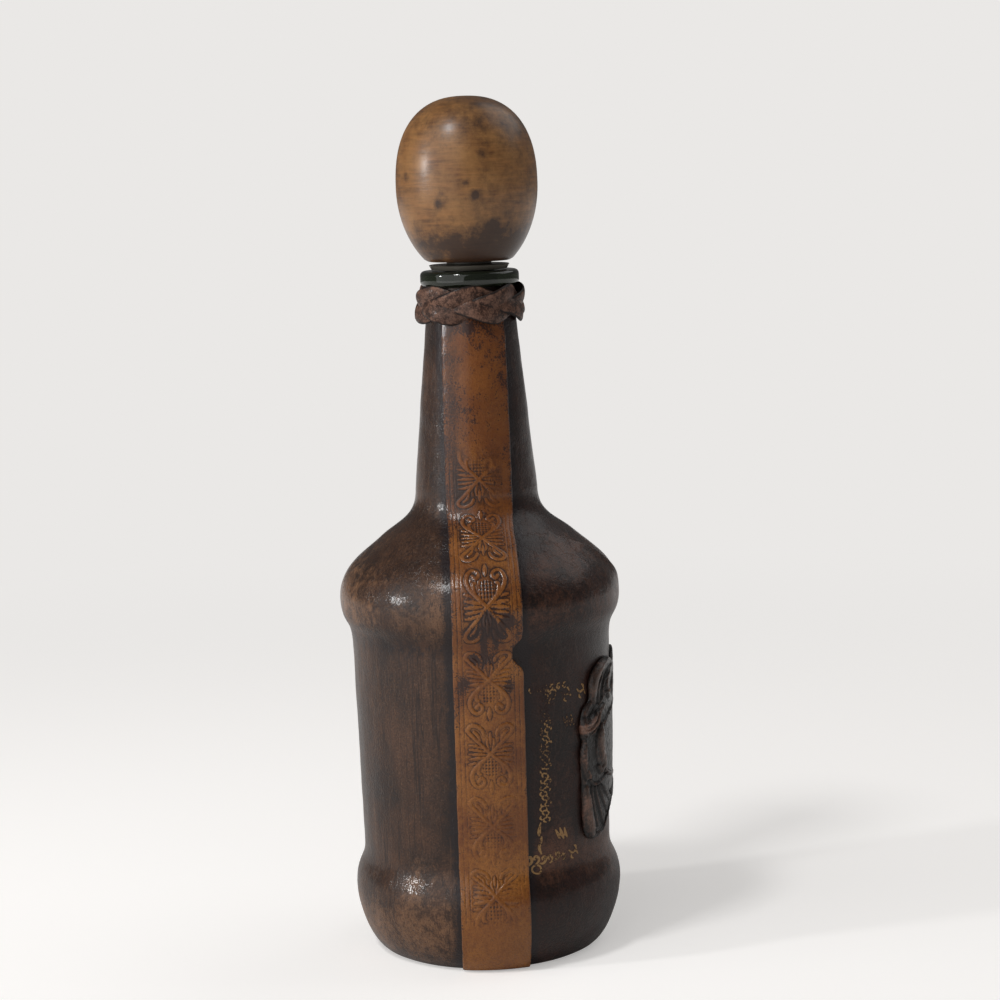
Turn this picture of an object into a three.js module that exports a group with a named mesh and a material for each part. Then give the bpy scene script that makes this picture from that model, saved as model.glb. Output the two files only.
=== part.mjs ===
// Leather-wrapped decanter: a green glass bottle dressed in two moulded leather halves, with a tooled strap over
// each seam, a leather disc under the foot, a plaited collar below the lip, a moulded crest on the front, and a
// turned wooden knob on a ribbed plastic plug. Millimetres, +Z up, origin at the centre of the base, crest on -Y.
import * as THREE from "three";

// How round a turned piece is, in facets, and the gap that glued and seated faces keep.
const roundFacets = 40;
const smallFacets = 28;
const seatGap = 0.3;

// Base leather: a flat disc that the whole decanter stands on.
const baseLeatherThickness = 1.6;
const baseEdgeInset = 0.5;

// Glass bottle, outer wall: a spread foot, a waist that widens a little upwards, a round shoulder, a tapered neck.
const glassBottom = baseLeatherThickness + seatGap;
const footRingRadius = 34.5;
const footRadius = 42.4;
const footHeight = 21;
const waistLowRadius = 39.1;
const waistLowHeight = 35;
const waistHighRadius = 40.6;
const waistHighHeight = 101.5;
const shoulderRadius = 44.3;
const shoulderHeight = 118;
const slopeRadius = 30.7;
const slopeHeight = 136;
const neckRootRadius = 18.2;
const neckRootHeight = 153;
const neckTopRadius = 11.8;
const lipBottomHeight = 219.4;
const lipRadius = 16.1;
const lipHeight = 5;
const lipEdgeRadius = 1.4;
const mouthHeight = lipBottomHeight + lipHeight;

// Glass bottle, inside: a straight bore for the plug, walls that follow the outside, and a pushed-up bottom.
const wallThickness = 3.2;
const boreRadius = 9.3;
const boreDepth = 30;
const floorThickness = 5;
const puntRadius = 24;
const puntHeight = 9;
const mouthEdgeRadius = 0.8;

// Leather halves and the straps over their seams.
const leatherThickness = 1.6;
const seamGap = 0.8;
const strapWidth = 23;
const strapThickness = 1.1;
const strapSteps = 6;

// Plaited collar: three thongs plaited flat round the neck, their ends butted at the back.
const thongWidth = 4.3;
const thongThickness = 1.4;
const thongRoll = 0.2;
const plaitHeight = 12.7;
const plaitDepth = 1.2;
const plaitTurns = 7 / 3;
const thongSteps = 40;
const thongSides = 8;
const thongEndGap = 0.4;

// Moulded crest on the front: a scrolled cartouche with an oval in the middle, bent to the waist of the bottle.
const crestWidth = 68;
const crestHeight = 59.6;
const crestRise = 0.3;
const crestMiddle = (waistLowHeight + waistHighHeight) / 2 + crestRise;
const crestPlate = 1.1;
const crestRelief = 1.9;
const crestFlatWidth = 12;
const crestSwellWidth = 44;
const crestOvalWidth = 38;
const crestOvalHeight = 25;

// Stopper: the plug's flange rests on the lip, and its stem is glued into the knob.
const flangeRadius = 13.1;
const flangeTaper = 0.7;
const flangeThickness = 1.6;
const plugNeckRadius = 7.3;
const plugNeckHeight = 1.1;
const barrelRadius = 8.1;
const barrelLength = 25;
const barrelWall = 1.9;
const barrelFloor = 2.4;
const ribRadius = boreRadius - seatGap;
const ribHeight = 2.2;
const ribCount = 4;
const stemRadius = 5;
const stemLength = 16;
const knobRadius = 23;
const knobBaseRadius = 13.8;
const knobBelow = 24.4;
const knobAbove = 28.6;
const knobEdgeRadius = 0.7;
const knobCrownPower = 2.4;
const plugSeat = mouthHeight + seatGap;
const flangeTop = plugSeat + flangeThickness;
const knobBottom = flangeTop + plugNeckHeight;

const finish = {
  glass: new THREE.MeshStandardMaterial({ color: 0x18211a, roughness: 0.08, metalness: 0 }),
  frontLeather: new THREE.MeshStandardMaterial({ color: 0x2b1a14, roughness: 0.42, metalness: 0 }),
  backLeather: new THREE.MeshStandardMaterial({ color: 0x4a2f20, roughness: 0.5, metalness: 0 }),
  strapLeather: new THREE.MeshStandardMaterial({ color: 0x9a6030, roughness: 0.5, metalness: 0 }),
  plaitLeather: new THREE.MeshStandardMaterial({ color: 0x5c3a2c, roughness: 0.6, metalness: 0 }),
  crestLeather: new THREE.MeshStandardMaterial({ color: 0x4a332a, roughness: 0.45, metalness: 0 }),
  wood: new THREE.MeshStandardMaterial({ color: 0x8c6b46, roughness: 0.45, metalness: 0 }),
  plastic: new THREE.MeshStandardMaterial({ color: 0x1c201c, roughness: 0.4, metalness: 0 }),
};

// A profile of (radius, height) points turned about the Z axis.
function turned(profile, facets = roundFacets) {
  const points = profile.map(([radius, height]) => new THREE.Vector2(radius, height));
  return new THREE.LatheGeometry(points, facets).rotateX(Math.PI / 2);
}

// The outer wall of the glass, from the edge of the foot ring up to the lip, as curves in (radius, height).
function wallPath() {
  const heelShare = 0.4;
  const easeShare = 0.5;
  const tuckShare = 0.7;
  const crownShare = 0.5;
  const rootShare = 0.62;
  const slopeRun = slopeRadius - neckRootRadius;
  const slopeRise = neckRootHeight - slopeHeight;
  const slopeShare = 0.42;
  const pitchShare = 0.66;
  const path = new THREE.Path();
  path.moveTo(footRingRadius, glassBottom);
  path.bezierCurveTo(
    footRingRadius + heelShare * (footRadius - footRingRadius), glassBottom,
    footRadius, footHeight - heelShare * (footHeight - glassBottom),
    footRadius, footHeight,
  );
  path.bezierCurveTo(
    footRadius, footHeight + easeShare * (waistLowHeight - footHeight),
    waistLowRadius, waistLowHeight - easeShare * (waistLowHeight - footHeight),
    waistLowRadius, waistLowHeight,
  );
  path.lineTo(waistHighRadius, waistHighHeight);
  path.bezierCurveTo(
    waistHighRadius, waistHighHeight + tuckShare * (shoulderHeight - waistHighHeight),
    shoulderRadius, shoulderHeight - easeShare * (shoulderHeight - waistHighHeight),
    shoulderRadius, shoulderHeight,
  );
  path.bezierCurveTo(
    shoulderRadius, shoulderHeight + crownShare * (slopeHeight - shoulderHeight),
    slopeRadius + slopeShare * slopeRun, slopeHeight - slopeShare * pitchShare * slopeRise,
    slopeRadius, slopeHeight,
  );
  path.bezierCurveTo(
    slopeRadius - slopeShare * slopeRun, slopeHeight + slopeShare * pitchShare * slopeRise,
    neckRootRadius, neckRootHeight - rootShare * slopeRise,
    neckRootRadius, neckRootHeight,
  );
  path.lineTo(neckTopRadius, lipBottomHeight);
  return path;
}

// Points along the wall with the outward normal at each, so that every layer over the glass follows one outline.
const curveSteps = 4;
const lineSteps = 1;
function wallStations(heelStartShare, topInset) {
  const stations = [];
  wallPath().curves.forEach((curve, place, curves) => {
    const steps = curve.type === "LineCurve" ? lineSteps : curveSteps;
    const start = place === 0 ? heelStartShare : 0;
    const end = place === curves.length - 1 ? 1 - topInset / curve.getLength() : 1;
    for (let k = place === 0 ? 0 : 1; k <= steps; k++) {
      const share = start + (end - start) * (k / steps);
      const point = curve.getPoint(share);
      const along = curve.getTangent(share);
      stations.push({ radius: point.x, height: point.y, outR: along.y, outZ: -along.x });
    }
  });
  return stations;
}

function offsetBy(station, distance) {
  return [station.radius + distance * station.outR, station.height + distance * station.outZ];
}

// A closed body from a row of cross-sections, each a ring of [x, y, z], closed by a fan to a point at either end.
function lofted(sections, startPoint, endPoint) {
  const ring = sections[0].length;
  const positions = [...sections.flat(2), ...startPoint, ...endPoint];
  const start = sections.length * ring;
  const last = start - ring;
  const faces = [];
  for (let k = 0; k < ring; k++) {
    const next = (k + 1) % ring;
    for (let i = 0; i < last; i += ring) {
      const [a, b, c, d] = [i + k, i + next, i + ring + next, i + ring + k];
      faces.push(a, b, c, a, c, d);
    }
    faces.push(start, next, k, start + 1, last + k, last + next);
  }
  const geometry = new THREE.BufferGeometry();
  geometry.setAttribute("position", new THREE.Float32BufferAttribute(positions, 3));
  geometry.setIndex(faces);
  return geometry;
}

// A layer over the glass, between two offsets from it, spread to both sides of an azimuth.
// Each section is a thin closed strip across the layer at one azimuth, so the layer is lofted round the bottle.
function layer({ stations, inner, outer, middle, halfAngle, steps }) {
  const middleOffset = (inner + outer) / 2;
  const sections = [];
  for (let k = 0; k <= steps; k++) {
    const side = -1 + (2 * k) / steps;
    const at = (station, offset) => {
      const [radius, height] = offsetBy(station, offset);
      const angle = middle + side * halfAngle(offsetBy(station, middleOffset)[0]);
      return [radius * Math.cos(angle), radius * Math.sin(angle), height];
    };
    const outside = stations.map((station) => at(station, outer));
    const inside = stations.map((station) => at(station, inner)).reverse();
    sections.push([...outside, ...inside]);
  }
  return stripsToBody(sections, stations.length);
}

// Joins such strips into one closed body: skin and lining between strips, and a ladder of faces over each end.
function stripsToBody(sections, count) {
  const ring = 2 * count;
  const positions = sections.flat(2);
  const faces = [];
  for (let i = 0; i + 1 < sections.length; i++) {
    for (let k = 0; k < ring; k++) {
      const next = (k + 1) % ring;
      const [a, b, c, d] = [i * ring + k, i * ring + next, (i + 1) * ring + next, (i + 1) * ring + k];
      faces.push(a, c, b, a, d, c);
    }
  }
  const last = (sections.length - 1) * ring;
  for (let k = 0; k + 1 < count; k++) {
    const [a, b, c, d] = [k, k + 1, ring - 2 - k, ring - 1 - k];
    faces.push(a, b, c, a, c, d);
    faces.push(last + a, last + c, last + b, last + a, last + d, last + c);
  }
  const geometry = new THREE.BufferGeometry();
  geometry.setAttribute("position", new THREE.Float32BufferAttribute(positions, 3));
  geometry.setIndex(faces);
  return geometry;
}

// Points of a quarter-round edge in a profile, from one angle to another about a centre.
function roundEdge(centreRadius, centreHeight, edgeRadius, fromAngle, toAngle, steps = 3) {
  return Array.from({ length: steps + 1 }, (_, k) => {
    const angle = fromAngle + ((toAngle - fromAngle) * k) / steps;
    return [centreRadius + edgeRadius * Math.cos(angle), centreHeight + edgeRadius * Math.sin(angle)];
  });
}

// The bottle: punt and foot ring, outer wall, lip, bore, and the inner wall down to the raised floor.
function glassBottle() {
  const quarter = Math.PI / 2;
  const wall = wallStations(0, 0);
  const boreBottom = mouthHeight - boreDepth;
  const everyOther = wall.filter((_, k) => k % 2 === 1);
  const innerWall = everyOther
    .filter((s) => s.height < boreBottom - wallThickness && s.height > footHeight / 2)
    .map((s) => offsetBy(s, -wallThickness))
    .filter(([radius]) => radius > boreRadius)
    .reverse();
  const floorHeight = glassBottom + floorThickness;
  const floorEdgeRadius = innerWall[innerWall.length - 1][0];
  const floorEdgeShare = 0.9;
  const puntEaseShare = 0.5;
  return turned([
    [0, glassBottom + puntHeight],
    [puntRadius * puntEaseShare, glassBottom + puntHeight * (1 - puntEaseShare ** 2)],
    [puntRadius, glassBottom],
    ...wall.map((s) => [s.radius, s.height]),
    ...roundEdge(lipRadius - lipEdgeRadius, lipBottomHeight + lipEdgeRadius, lipEdgeRadius, -quarter, 0),
    ...roundEdge(lipRadius - lipEdgeRadius, mouthHeight - lipEdgeRadius, lipEdgeRadius, 0, quarter),
    ...roundEdge(boreRadius + mouthEdgeRadius, mouthHeight - mouthEdgeRadius, mouthEdgeRadius, quarter, 2 * quarter),
    [boreRadius, boreBottom],
    ...innerWall,
    [floorEdgeRadius * floorEdgeShare, floorHeight],
    [puntRadius, floorHeight],
    [puntRadius * puntEaseShare, floorHeight + puntHeight * (1 - puntEaseShare ** 2)],
    [0, floorHeight + puntHeight],
  ]);
}

// One half of the dress: leather moulded over half of the bottle, from the heel to just under the lip.
const leatherInner = seatGap;
const leatherOuter = leatherInner + leatherThickness;
const panelHeelShare = 0.04;
function leatherHalf(middle) {
  return layer({
    stations: wallStations(panelHeelShare, seatGap),
    inner: leatherInner,
    outer: leatherOuter,
    middle,
    halfAngle: (radius) => Math.PI / 2 - seamGap / (2 * radius),
    steps: roundFacets / 2,
  });
}

// A strap of even width, laid over a seam from under the collar to the edge of the base.
const strapInner = leatherOuter + seatGap;
const strapOuter = strapInner + strapThickness;
const strapHeelShare = 0.16;
function strap(middle) {
  return layer({
    stations: wallStations(strapHeelShare, plaitHeight + 2 * seatGap),
    inner: strapInner,
    outer: strapOuter,
    middle,
    halfAngle: (radius) => strapWidth / (2 * radius),
    steps: strapSteps,
  });
}

function baseDisc() {
  const radius = footRingRadius - baseEdgeInset;
  return turned([[0, 0], [radius, 0], [radius, baseLeatherThickness], [0, baseLeatherThickness]]);
}

// The neck's leather surface at a height, which carries the collar.
function neckSurface(height) {
  const share = (height - neckRootHeight) / (lipBottomHeight - neckRootHeight);
  return neckRootRadius + (neckTopRadius - neckRootRadius) * share + leatherOuter;
}

// One thong of the plait. Across the neck it swings up and down once a turn of the plait, and in and out twice,
// so that it lies over one neighbour and under the other.
function plaitThong(strand) {
  const swing = (plaitHeight - thongWidth) / 2;
  const middleHeight = lipBottomHeight - seatGap - plaitHeight / 2;
  const seat = seatGap + plaitDepth + thongThickness / 2 + (thongWidth / 2) * Math.sin(thongRoll);
  const back = Math.PI / 2;
  const phase = (strand * 2 * Math.PI) / 3;
  const centre = (turn) => {
    const angle = back + turn;
    const swingPhase = plaitTurns * turn + phase;
    const height = middleHeight + swing * Math.sin(swingPhase);
    const radius = neckSurface(height) + seat + plaitDepth * Math.sin(2 * swingPhase);
    return new THREE.Vector3(radius * Math.cos(angle), radius * Math.sin(angle), height);
  };
  const endTurn = thongEndGap / (2 * neckSurface(middleHeight));
  const sections = [];
  for (let k = 0; k <= thongSteps; k++) {
    const turn = endTurn + ((2 * Math.PI - 2 * endTurn) * k) / thongSteps;
    const point = centre(turn);
    const along = centre(turn + endTurn).sub(centre(turn - endTurn)).normalize();
    const out = new THREE.Vector3(point.x, point.y, 0).normalize();
    const across = new THREE.Vector3().crossVectors(out, along).normalize();
    const roll = thongRoll * Math.cos(plaitTurns * turn + phase);
    across.applyAxisAngle(along, roll);
    const lift = new THREE.Vector3().crossVectors(along, across).normalize();
    const ring = [];
    for (let side = 0; side < thongSides; side++) {
      const angle = ((side + 0.5) * 2 * Math.PI) / thongSides;
      const corner = point.clone()
        .addScaledVector(across, ((thongWidth / 2) * Math.cos(angle)) / Math.cos(Math.PI / thongSides))
        .addScaledVector(lift, ((thongThickness / 2) * Math.sin(angle)) / Math.cos(Math.PI / thongSides));
      ring.push(corner.toArray());
    }
    sections.push(ring);
  }
  const ends = [endTurn, 2 * Math.PI - endTurn].map((turn) => centre(turn).toArray());
  return lofted(sections, ...ends);
}

// The waist's leather surface at a height, which carries the crest.
function waistSurface(height) {
  const share = (height - waistLowHeight) / (waistHighHeight - waistLowHeight);
  return waistLowRadius + (waistHighRadius - waistLowRadius) * share + leatherOuter;
}

// Half of the crest's edge, as shares of half its width and half its height, from the top to the tail.
const crestEdgeShares = [
  [0, 1], [0.12, 0.9], [0.3, 0.9], [0.46, 0.98], [0.64, 0.97], [0.8, 0.88], [0.86, 0.76], [0.86, 0.62], [0.88, 0.56],
  [0.96, 0.48], [1, 0.33], [0.99, 0.2], [0.965, 0.12], [0.99, 0], [0.975, -0.25], [0.965, -0.48], [0.955, -0.7],
  [0.93, -0.88], [0.84, -0.98], [0.68, -0.98], [0.54, -0.86], [0.42, -0.74], [0.27, -0.65], [0.12, -0.66], [0, -0.76],
];
const crestEdgePoints = 52;
function crestEdge() {
  const half = crestEdgeShares.map(([across, up]) => [(across * crestWidth) / 2, (up * crestHeight) / 2]);
  const mirrored = half.slice(1, -1).reverse().map(([across, up]) => [-across, up]);
  const corners = [...half, ...mirrored, half[0]].map(([across, up]) => new THREE.Vector2(across, up));
  return new THREE.SplineCurve(corners).getSpacedPoints(crestEdgePoints).slice(0, -1);
}

// Rings of the relief from the middle out. The first share runs to the oval at 1 and on to the edge at 2, and
// the second is how high the ring stands, of the relief over the plate: a crowned oval, its bead, a sunk field
// and a bead that follows the scrolled edge. The relief is low over the middle of the crest and swells sideways.
const crestCrownShare = 0.2;
const crestMiddleShare = 0.2;
const crestRingShares = [
  [0.45, 0.75], [0.76, 0.2], [0.84, 0.9], [1, 0.9], [1.14, 0.1], [1.45, 0.3], [1.68, 0.45], [1.78, 1],
  [1.93, 1], [2, 0.1],
];
const crestBackShares = [2, 1.66, 1.33, 1, 0.5];

function crest() {
  const bent = (across, up, rise) => {
    const height = crestMiddle + up;
    const radius = waistSurface(height) + seatGap;
    const angle = across / radius;
    return [(radius + rise) * Math.sin(angle), -(radius + rise) * Math.cos(angle), height];
  };
  const swell = (across) => {
    const out = THREE.MathUtils.smoothstep(Math.abs(across), crestFlatWidth / 2, crestSwellWidth / 2);
    return crestMiddleShare + (1 - crestMiddleShare) * out;
  };
  const ring = (share, plate, level) => crestEdge().map((edge) => {
    const angle = Math.atan2(edge.y / crestOvalHeight, edge.x / crestOvalWidth);
    const oval = new THREE.Vector2(Math.cos(angle) * crestOvalWidth, Math.sin(angle) * crestOvalHeight);
    oval.multiplyScalar(Math.min(share, 1) / 2);
    const place = oval.lerp(edge, Math.max(share - 1, 0));
    return bent(place.x, place.y, plate + level * crestRelief * swell(place.x));
  });
  const face = crestRingShares.map(([share, level]) => ring(share, crestPlate, level));
  const back = crestBackShares.map((share) => ring(share, 0, 0));
  return lofted([...face, ...back], bent(0, 0, crestPlate + crestCrownShare * crestRelief), bent(0, 0, 0));
}

// The plug: stem, neck, flange, and a hollow barrel with sealing ribs that run just clear of the bore.
function stopperPlug() {
  const barrelBottom = plugSeat - barrelLength;
  const ribPitch = (barrelLength - ribHeight) / (ribCount + 0.5);
  const ribLeadShare = 0.75;
  const ribs = [];
  for (let k = 0; k < ribCount; k++) {
    const low = barrelBottom + ribHeight / 2 + k * ribPitch;
    ribs.push([barrelRadius, low], [ribRadius, low + ribHeight * ribLeadShare], [barrelRadius, low + ribHeight]);
  }
  return turned([
    [0, barrelBottom + barrelLength - barrelFloor],
    [barrelRadius - barrelWall, barrelBottom + barrelLength - barrelFloor],
    [barrelRadius - barrelWall, barrelBottom],
    [barrelRadius - barrelWall / 2, barrelBottom],
    ...ribs,
    [barrelRadius, plugSeat],
    [flangeRadius - flangeTaper, plugSeat],
    [flangeRadius, flangeTop],
    [plugNeckRadius, flangeTop],
    [plugNeckRadius, knobBottom - seatGap],
    [stemRadius, knobBottom - seatGap],
    [stemRadius, knobBottom + stemLength],
    [0, knobBottom + stemLength],
  ], smallFacets);
}

// The knob: a turned egg, fuller at the crown, cut flat below and bored for the plug's stem.
function stopperKnob() {
  const middle = knobBottom + knobBelow;
  const lowerAxis = knobBelow / Math.sqrt(1 - (knobBaseRadius / knobRadius) ** 2);
  const lowerSteps = 7;
  const crownSteps = 9;
  const profile = [
    [0, knobBottom + stemLength + seatGap],
    [stemRadius + seatGap, knobBottom + stemLength + seatGap],
    [stemRadius + seatGap, knobBottom],
    [knobBaseRadius - knobEdgeRadius, knobBottom],
  ];
  for (let k = 0; k <= lowerSteps; k++) {
    const below = (knobBelow - knobEdgeRadius) * (1 - k / lowerSteps);
    profile.push([knobRadius * Math.sqrt(1 - (below / lowerAxis) ** 2), middle - below]);
  }
  for (let k = 1; k <= crownSteps; k++) {
    const share = Math.sin(((k / crownSteps) * Math.PI) / 2);
    const radius = knobRadius * (1 - share ** knobCrownPower) ** (1 / knobCrownPower);
    profile.push([k === crownSteps ? 0 : radius, middle + knobAbove * share]);
  }
  return turned(profile, smallFacets);
}

const decanter = new THREE.Group();
function add(name, geometry, material) {
  const mesh = new THREE.Mesh(geometry, material);
  mesh.name = name;
  decanter.add(mesh);
}

add("glass_bottle", glassBottle(), finish.glass);
add("base_leather", baseDisc(), finish.backLeather);
add("front_leather", leatherHalf(-Math.PI / 2), finish.frontLeather);
add("back_leather", leatherHalf(Math.PI / 2), finish.backLeather);
add("left_strap", strap(Math.PI), finish.strapLeather);
add("right_strap", strap(0), finish.strapLeather);
["a", "b", "c"].forEach((letter, strand) => {
  add(`plait_thong_${letter}`, plaitThong(strand), finish.plaitLeather);
});
add("front_crest", crest(), finish.crestLeather);
add("stopper_plug", stopperPlug(), finish.plastic);
add("stopper_knob", stopperKnob(), finish.wood);

export default decanter;
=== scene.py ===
import math

import bpy
import numpy as np
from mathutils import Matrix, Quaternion, Vector, noise


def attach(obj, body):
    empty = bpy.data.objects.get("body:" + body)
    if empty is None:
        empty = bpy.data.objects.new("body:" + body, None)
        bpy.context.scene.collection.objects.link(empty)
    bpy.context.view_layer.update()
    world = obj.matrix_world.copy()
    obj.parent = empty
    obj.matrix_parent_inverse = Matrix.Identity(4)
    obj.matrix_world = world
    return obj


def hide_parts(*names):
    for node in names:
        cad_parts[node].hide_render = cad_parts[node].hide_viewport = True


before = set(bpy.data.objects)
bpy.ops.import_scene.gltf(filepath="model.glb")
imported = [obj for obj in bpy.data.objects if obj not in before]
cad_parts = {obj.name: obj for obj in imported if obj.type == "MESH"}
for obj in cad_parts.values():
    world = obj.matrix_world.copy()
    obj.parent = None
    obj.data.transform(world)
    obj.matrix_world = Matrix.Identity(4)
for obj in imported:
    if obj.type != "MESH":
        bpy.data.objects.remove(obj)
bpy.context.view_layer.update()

scene = bpy.context.scene
scene.view_settings.view_transform = "Standard"
mm = 0.001


# Camera: a phone held level with the knob, 0.82 m away and tipped down a little. The strap faces it and the
# crest is at the right.
camera_azimuth = math.radians(267.4)
camera_distance = 816.8 * mm
camera_height = 264.6 * mm
camera_pitch = math.radians(8.1)
camera_yaw = math.radians(0.54)
camera_roll = math.radians(-1.75)
camera_data = bpy.data.cameras.new("camera")
camera_data.lens = 90
camera_data.sensor_width = 36
camera_data.sensor_fit = "HORIZONTAL"
camera = bpy.data.objects.new("camera", camera_data)
scene.collection.objects.link(camera)
scene.camera = camera
camera.location = (
    camera_distance * math.sin(camera_azimuth),
    -camera_distance * math.cos(camera_azimuth),
    camera_height,
)
heading = camera_azimuth - camera_yaw
look = Vector((
    -math.sin(heading) * math.cos(camera_pitch),
    math.cos(heading) * math.cos(camera_pitch),
    -math.sin(camera_pitch),
))
camera.rotation_mode = "QUATERNION"
camera.rotation_quaternion = look.to_track_quat("-Z", "Y") @ Quaternion((0, 0, 1), camera_roll)


# Table and light: a pale matt table in a soft white room, with a small bright window, a wide white wall
# beside it, light from above and a bright corner of the room.
def linear(hex_colour):
    """An sRGB hex colour as linear RGBA."""
    channels = [int(hex_colour[k : k + 2], 16) / 255 for k in (0, 2, 4)]
    return tuple(c / 12.92 if c <= 0.04045 else ((c + 0.055) / 1.055) ** 2.4 for c in channels) + (1,)


def add_node(tree, kind, values={}, links={}, **settings):
    """Adds a shader node with its settings, socket values and links, and returns it."""
    node = tree.nodes.new("ShaderNode" + kind)
    for name, value in settings.items():
        setattr(node, name, value)
    for socket, value in values.items():
        node.inputs[socket].default_value = value
    for socket, source in links.items():
        tree.links.new(source, node.inputs[socket])
    return node


def principled(name, values={}):
    """A new material with a Principled surface and its values: material, node tree and surface."""
    material = bpy.data.materials.new(name)
    material.use_nodes = True
    surface = material.node_tree.nodes["Principled BSDF"]
    for socket, value in values.items():
        surface.inputs[socket].default_value = value
    return material, material.node_tree, surface


room_colour = linear("EAE8E6")
table_colour = linear("E6E4E2")
table_radius = 3.0
world = bpy.data.worlds.new("white_room")
scene.world = world
world.use_nodes = True
world.node_tree.nodes.clear()
seen = add_node(world.node_tree, "LightPath")
direct = add_node(world.node_tree, "Math", links={
    0: seen.outputs["Is Camera Ray"], 1: seen.outputs["Is Transmission Ray"]}, operation="MAXIMUM")
ambient = add_node(world.node_tree, "Background", {"Color": room_colour, "Strength": 0.17})
mirrored_room = add_node(world.node_tree, "Background", {"Color": room_colour, "Strength": 0.13})
backdrop = add_node(world.node_tree, "Background", {"Color": room_colour, "Strength": 1.0})
glossy_or_not = add_node(world.node_tree, "MixShader", links={
    0: seen.outputs["Is Glossy Ray"], 1: ambient.outputs[0], 2: mirrored_room.outputs[0]})
room = add_node(world.node_tree, "MixShader", links={
    0: direct.outputs[0], 1: glossy_or_not.outputs[0], 2: backdrop.outputs[0]})
add_node(world.node_tree, "OutputWorld", links={"Surface": room.outputs[0]})

bpy.ops.object.select_all(action="DESELECT")
bpy.ops.mesh.primitive_circle_add(vertices=96, radius=table_radius, fill_type="NGON")
table = bpy.context.object
table.name = "table"
cloth = bpy.data.materials.new("white_tablecloth")
cloth.use_nodes = True
cloth.node_tree.nodes.clear()
spot = add_node(cloth.node_tree, "TexCoord")
reach = add_node(cloth.node_tree, "VectorMath", links={0: spot.outputs["Object"]},
                 operation="LENGTH")
fade = add_node(cloth.node_tree, "MapRange", {"From Min": 0.2, "From Max": 0.8},
                {"Value": reach.outputs["Value"]}, interpolation_type="SMOOTHSTEP")
lit = add_node(cloth.node_tree, "BsdfPrincipled", {"Base Color": table_colour, "Roughness": 0.9})
seen_glow = add_node(cloth.node_tree, "Math", {1: 0.45}, {
    0: add_node(cloth.node_tree, "LightPath").outputs["Is Camera Ray"]}, operation="MULTIPLY")
glow = add_node(cloth.node_tree, "Emission", {"Color": room_colour},
                {"Strength": seen_glow.outputs[0]})
near = add_node(cloth.node_tree, "AddShader", links={0: lit.outputs[0], 1: glow.outputs[0]})
far = add_node(cloth.node_tree, "Emission", {"Color": room_colour, "Strength": 1.0})
blended = add_node(cloth.node_tree, "MixShader", links={
    0: fade.outputs[0], 1: near.outputs[0], 2: far.outputs[0]})
add_node(cloth.node_tree, "OutputMaterial", links={"Surface": blended.outputs[0]})
table.data.materials.append(cloth)

light_aim = Vector((0, 0, 150 * mm))
# Each lamp: its name, place in metres, width, height and power in watts.
lamps = [
    ("window", (-0.33, 1.17, 0.48), 0.09, 0.11, 4.6),
    ("white_wall", (-0.85, 1.05, 0.7), 2.2, 1.8, 12.0),
    ("ceiling", (-0.58, 0.57, 1.4), 0.22, 0.22, 7.0),
    ("bright_corner", (0.35, -0.8, 1.1), 1.2, 0.9, 3.4),
]
for lamp_name, place, wide, high, power in lamps:
    lamp_data = bpy.data.lights.new(lamp_name, "AREA")
    lamp_data.energy = power
    lamp_data.shape = "RECTANGLE"
    lamp_data.size = wide
    lamp_data.size_y = high
    lamp = bpy.data.objects.new(lamp_name, lamp_data)
    scene.collection.objects.link(lamp)
    lamp.location = place
    lamp.rotation_mode = "QUATERNION"
    lamp.rotation_quaternion = (light_aim - Vector(place)).to_track_quat("-Z", "Y")


# Bottle: dark green bottle glass, mould-blown with a heavy foot and finished with a tooled ring at the lip.
# Its outside, from the foot ring to the lip, is the outline that every leather layer follows.
def bezier(*corners, count=24):
    """Points of a Bezier curve with four corners, or of a line between two, without the last one."""
    share = np.linspace(0, 1, count, endpoint=False)[:, None]
    corners = [np.array(corner) for corner in corners]
    while len(corners) > 1:
        corners = [a + (b - a) * share for a, b in zip(corners, corners[1:])]
    return corners[0]


def places_of(piece):
    """The places of a piece's vertices, as rows of an array."""
    places = np.empty(len(piece.data.vertices) * 3)
    piece.data.vertices.foreach_get("co", places)
    return places.reshape(-1, 3)


def made_active(piece):
    """Selects one piece alone."""
    bpy.ops.object.select_all(action="DESELECT")
    bpy.context.view_layer.objects.active = piece
    piece.select_set(True)


def spun(name, profile, segments):
    """A closed turned piece: a profile of radii and heights, spun about the bottle's axis."""
    mesh = bpy.data.meshes.new(name)
    points = [(radius, 0, height) for radius, height in profile]
    mesh.from_pydata(points, [(k, k + 1) for k in range(len(points) - 1)], [])
    piece = bpy.data.objects.new(name, mesh)
    scene.collection.objects.link(piece)
    made_active(piece)
    bpy.ops.object.mode_set(mode="EDIT")
    bpy.ops.mesh.select_all(action="SELECT")
    bpy.ops.mesh.spin(steps=segments, angle=2 * math.pi, center=(0, 0, 0), axis=(0, 0, 1))
    bpy.ops.mesh.select_all(action="SELECT")
    bpy.ops.mesh.remove_doubles(threshold=0.001 * mm)
    bpy.ops.mesh.normals_make_consistent(inside=False)
    bpy.ops.object.mode_set(mode="OBJECT")
    return piece


def dressed(piece, name, body, slot, material, *nodes, smooth_angle=35):
    """Names a finished piece, gives it its material and sets it on its body, in place of its CAD nodes."""
    piece.name = name
    piece.data.name = name
    piece.data.materials.clear()
    piece.data.materials.append(material)
    made_active(piece)
    bpy.ops.object.shade_smooth_by_angle(angle=math.radians(smooth_angle))
    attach(piece, body)
    if nodes:
        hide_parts(*nodes)
    return piece


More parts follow.
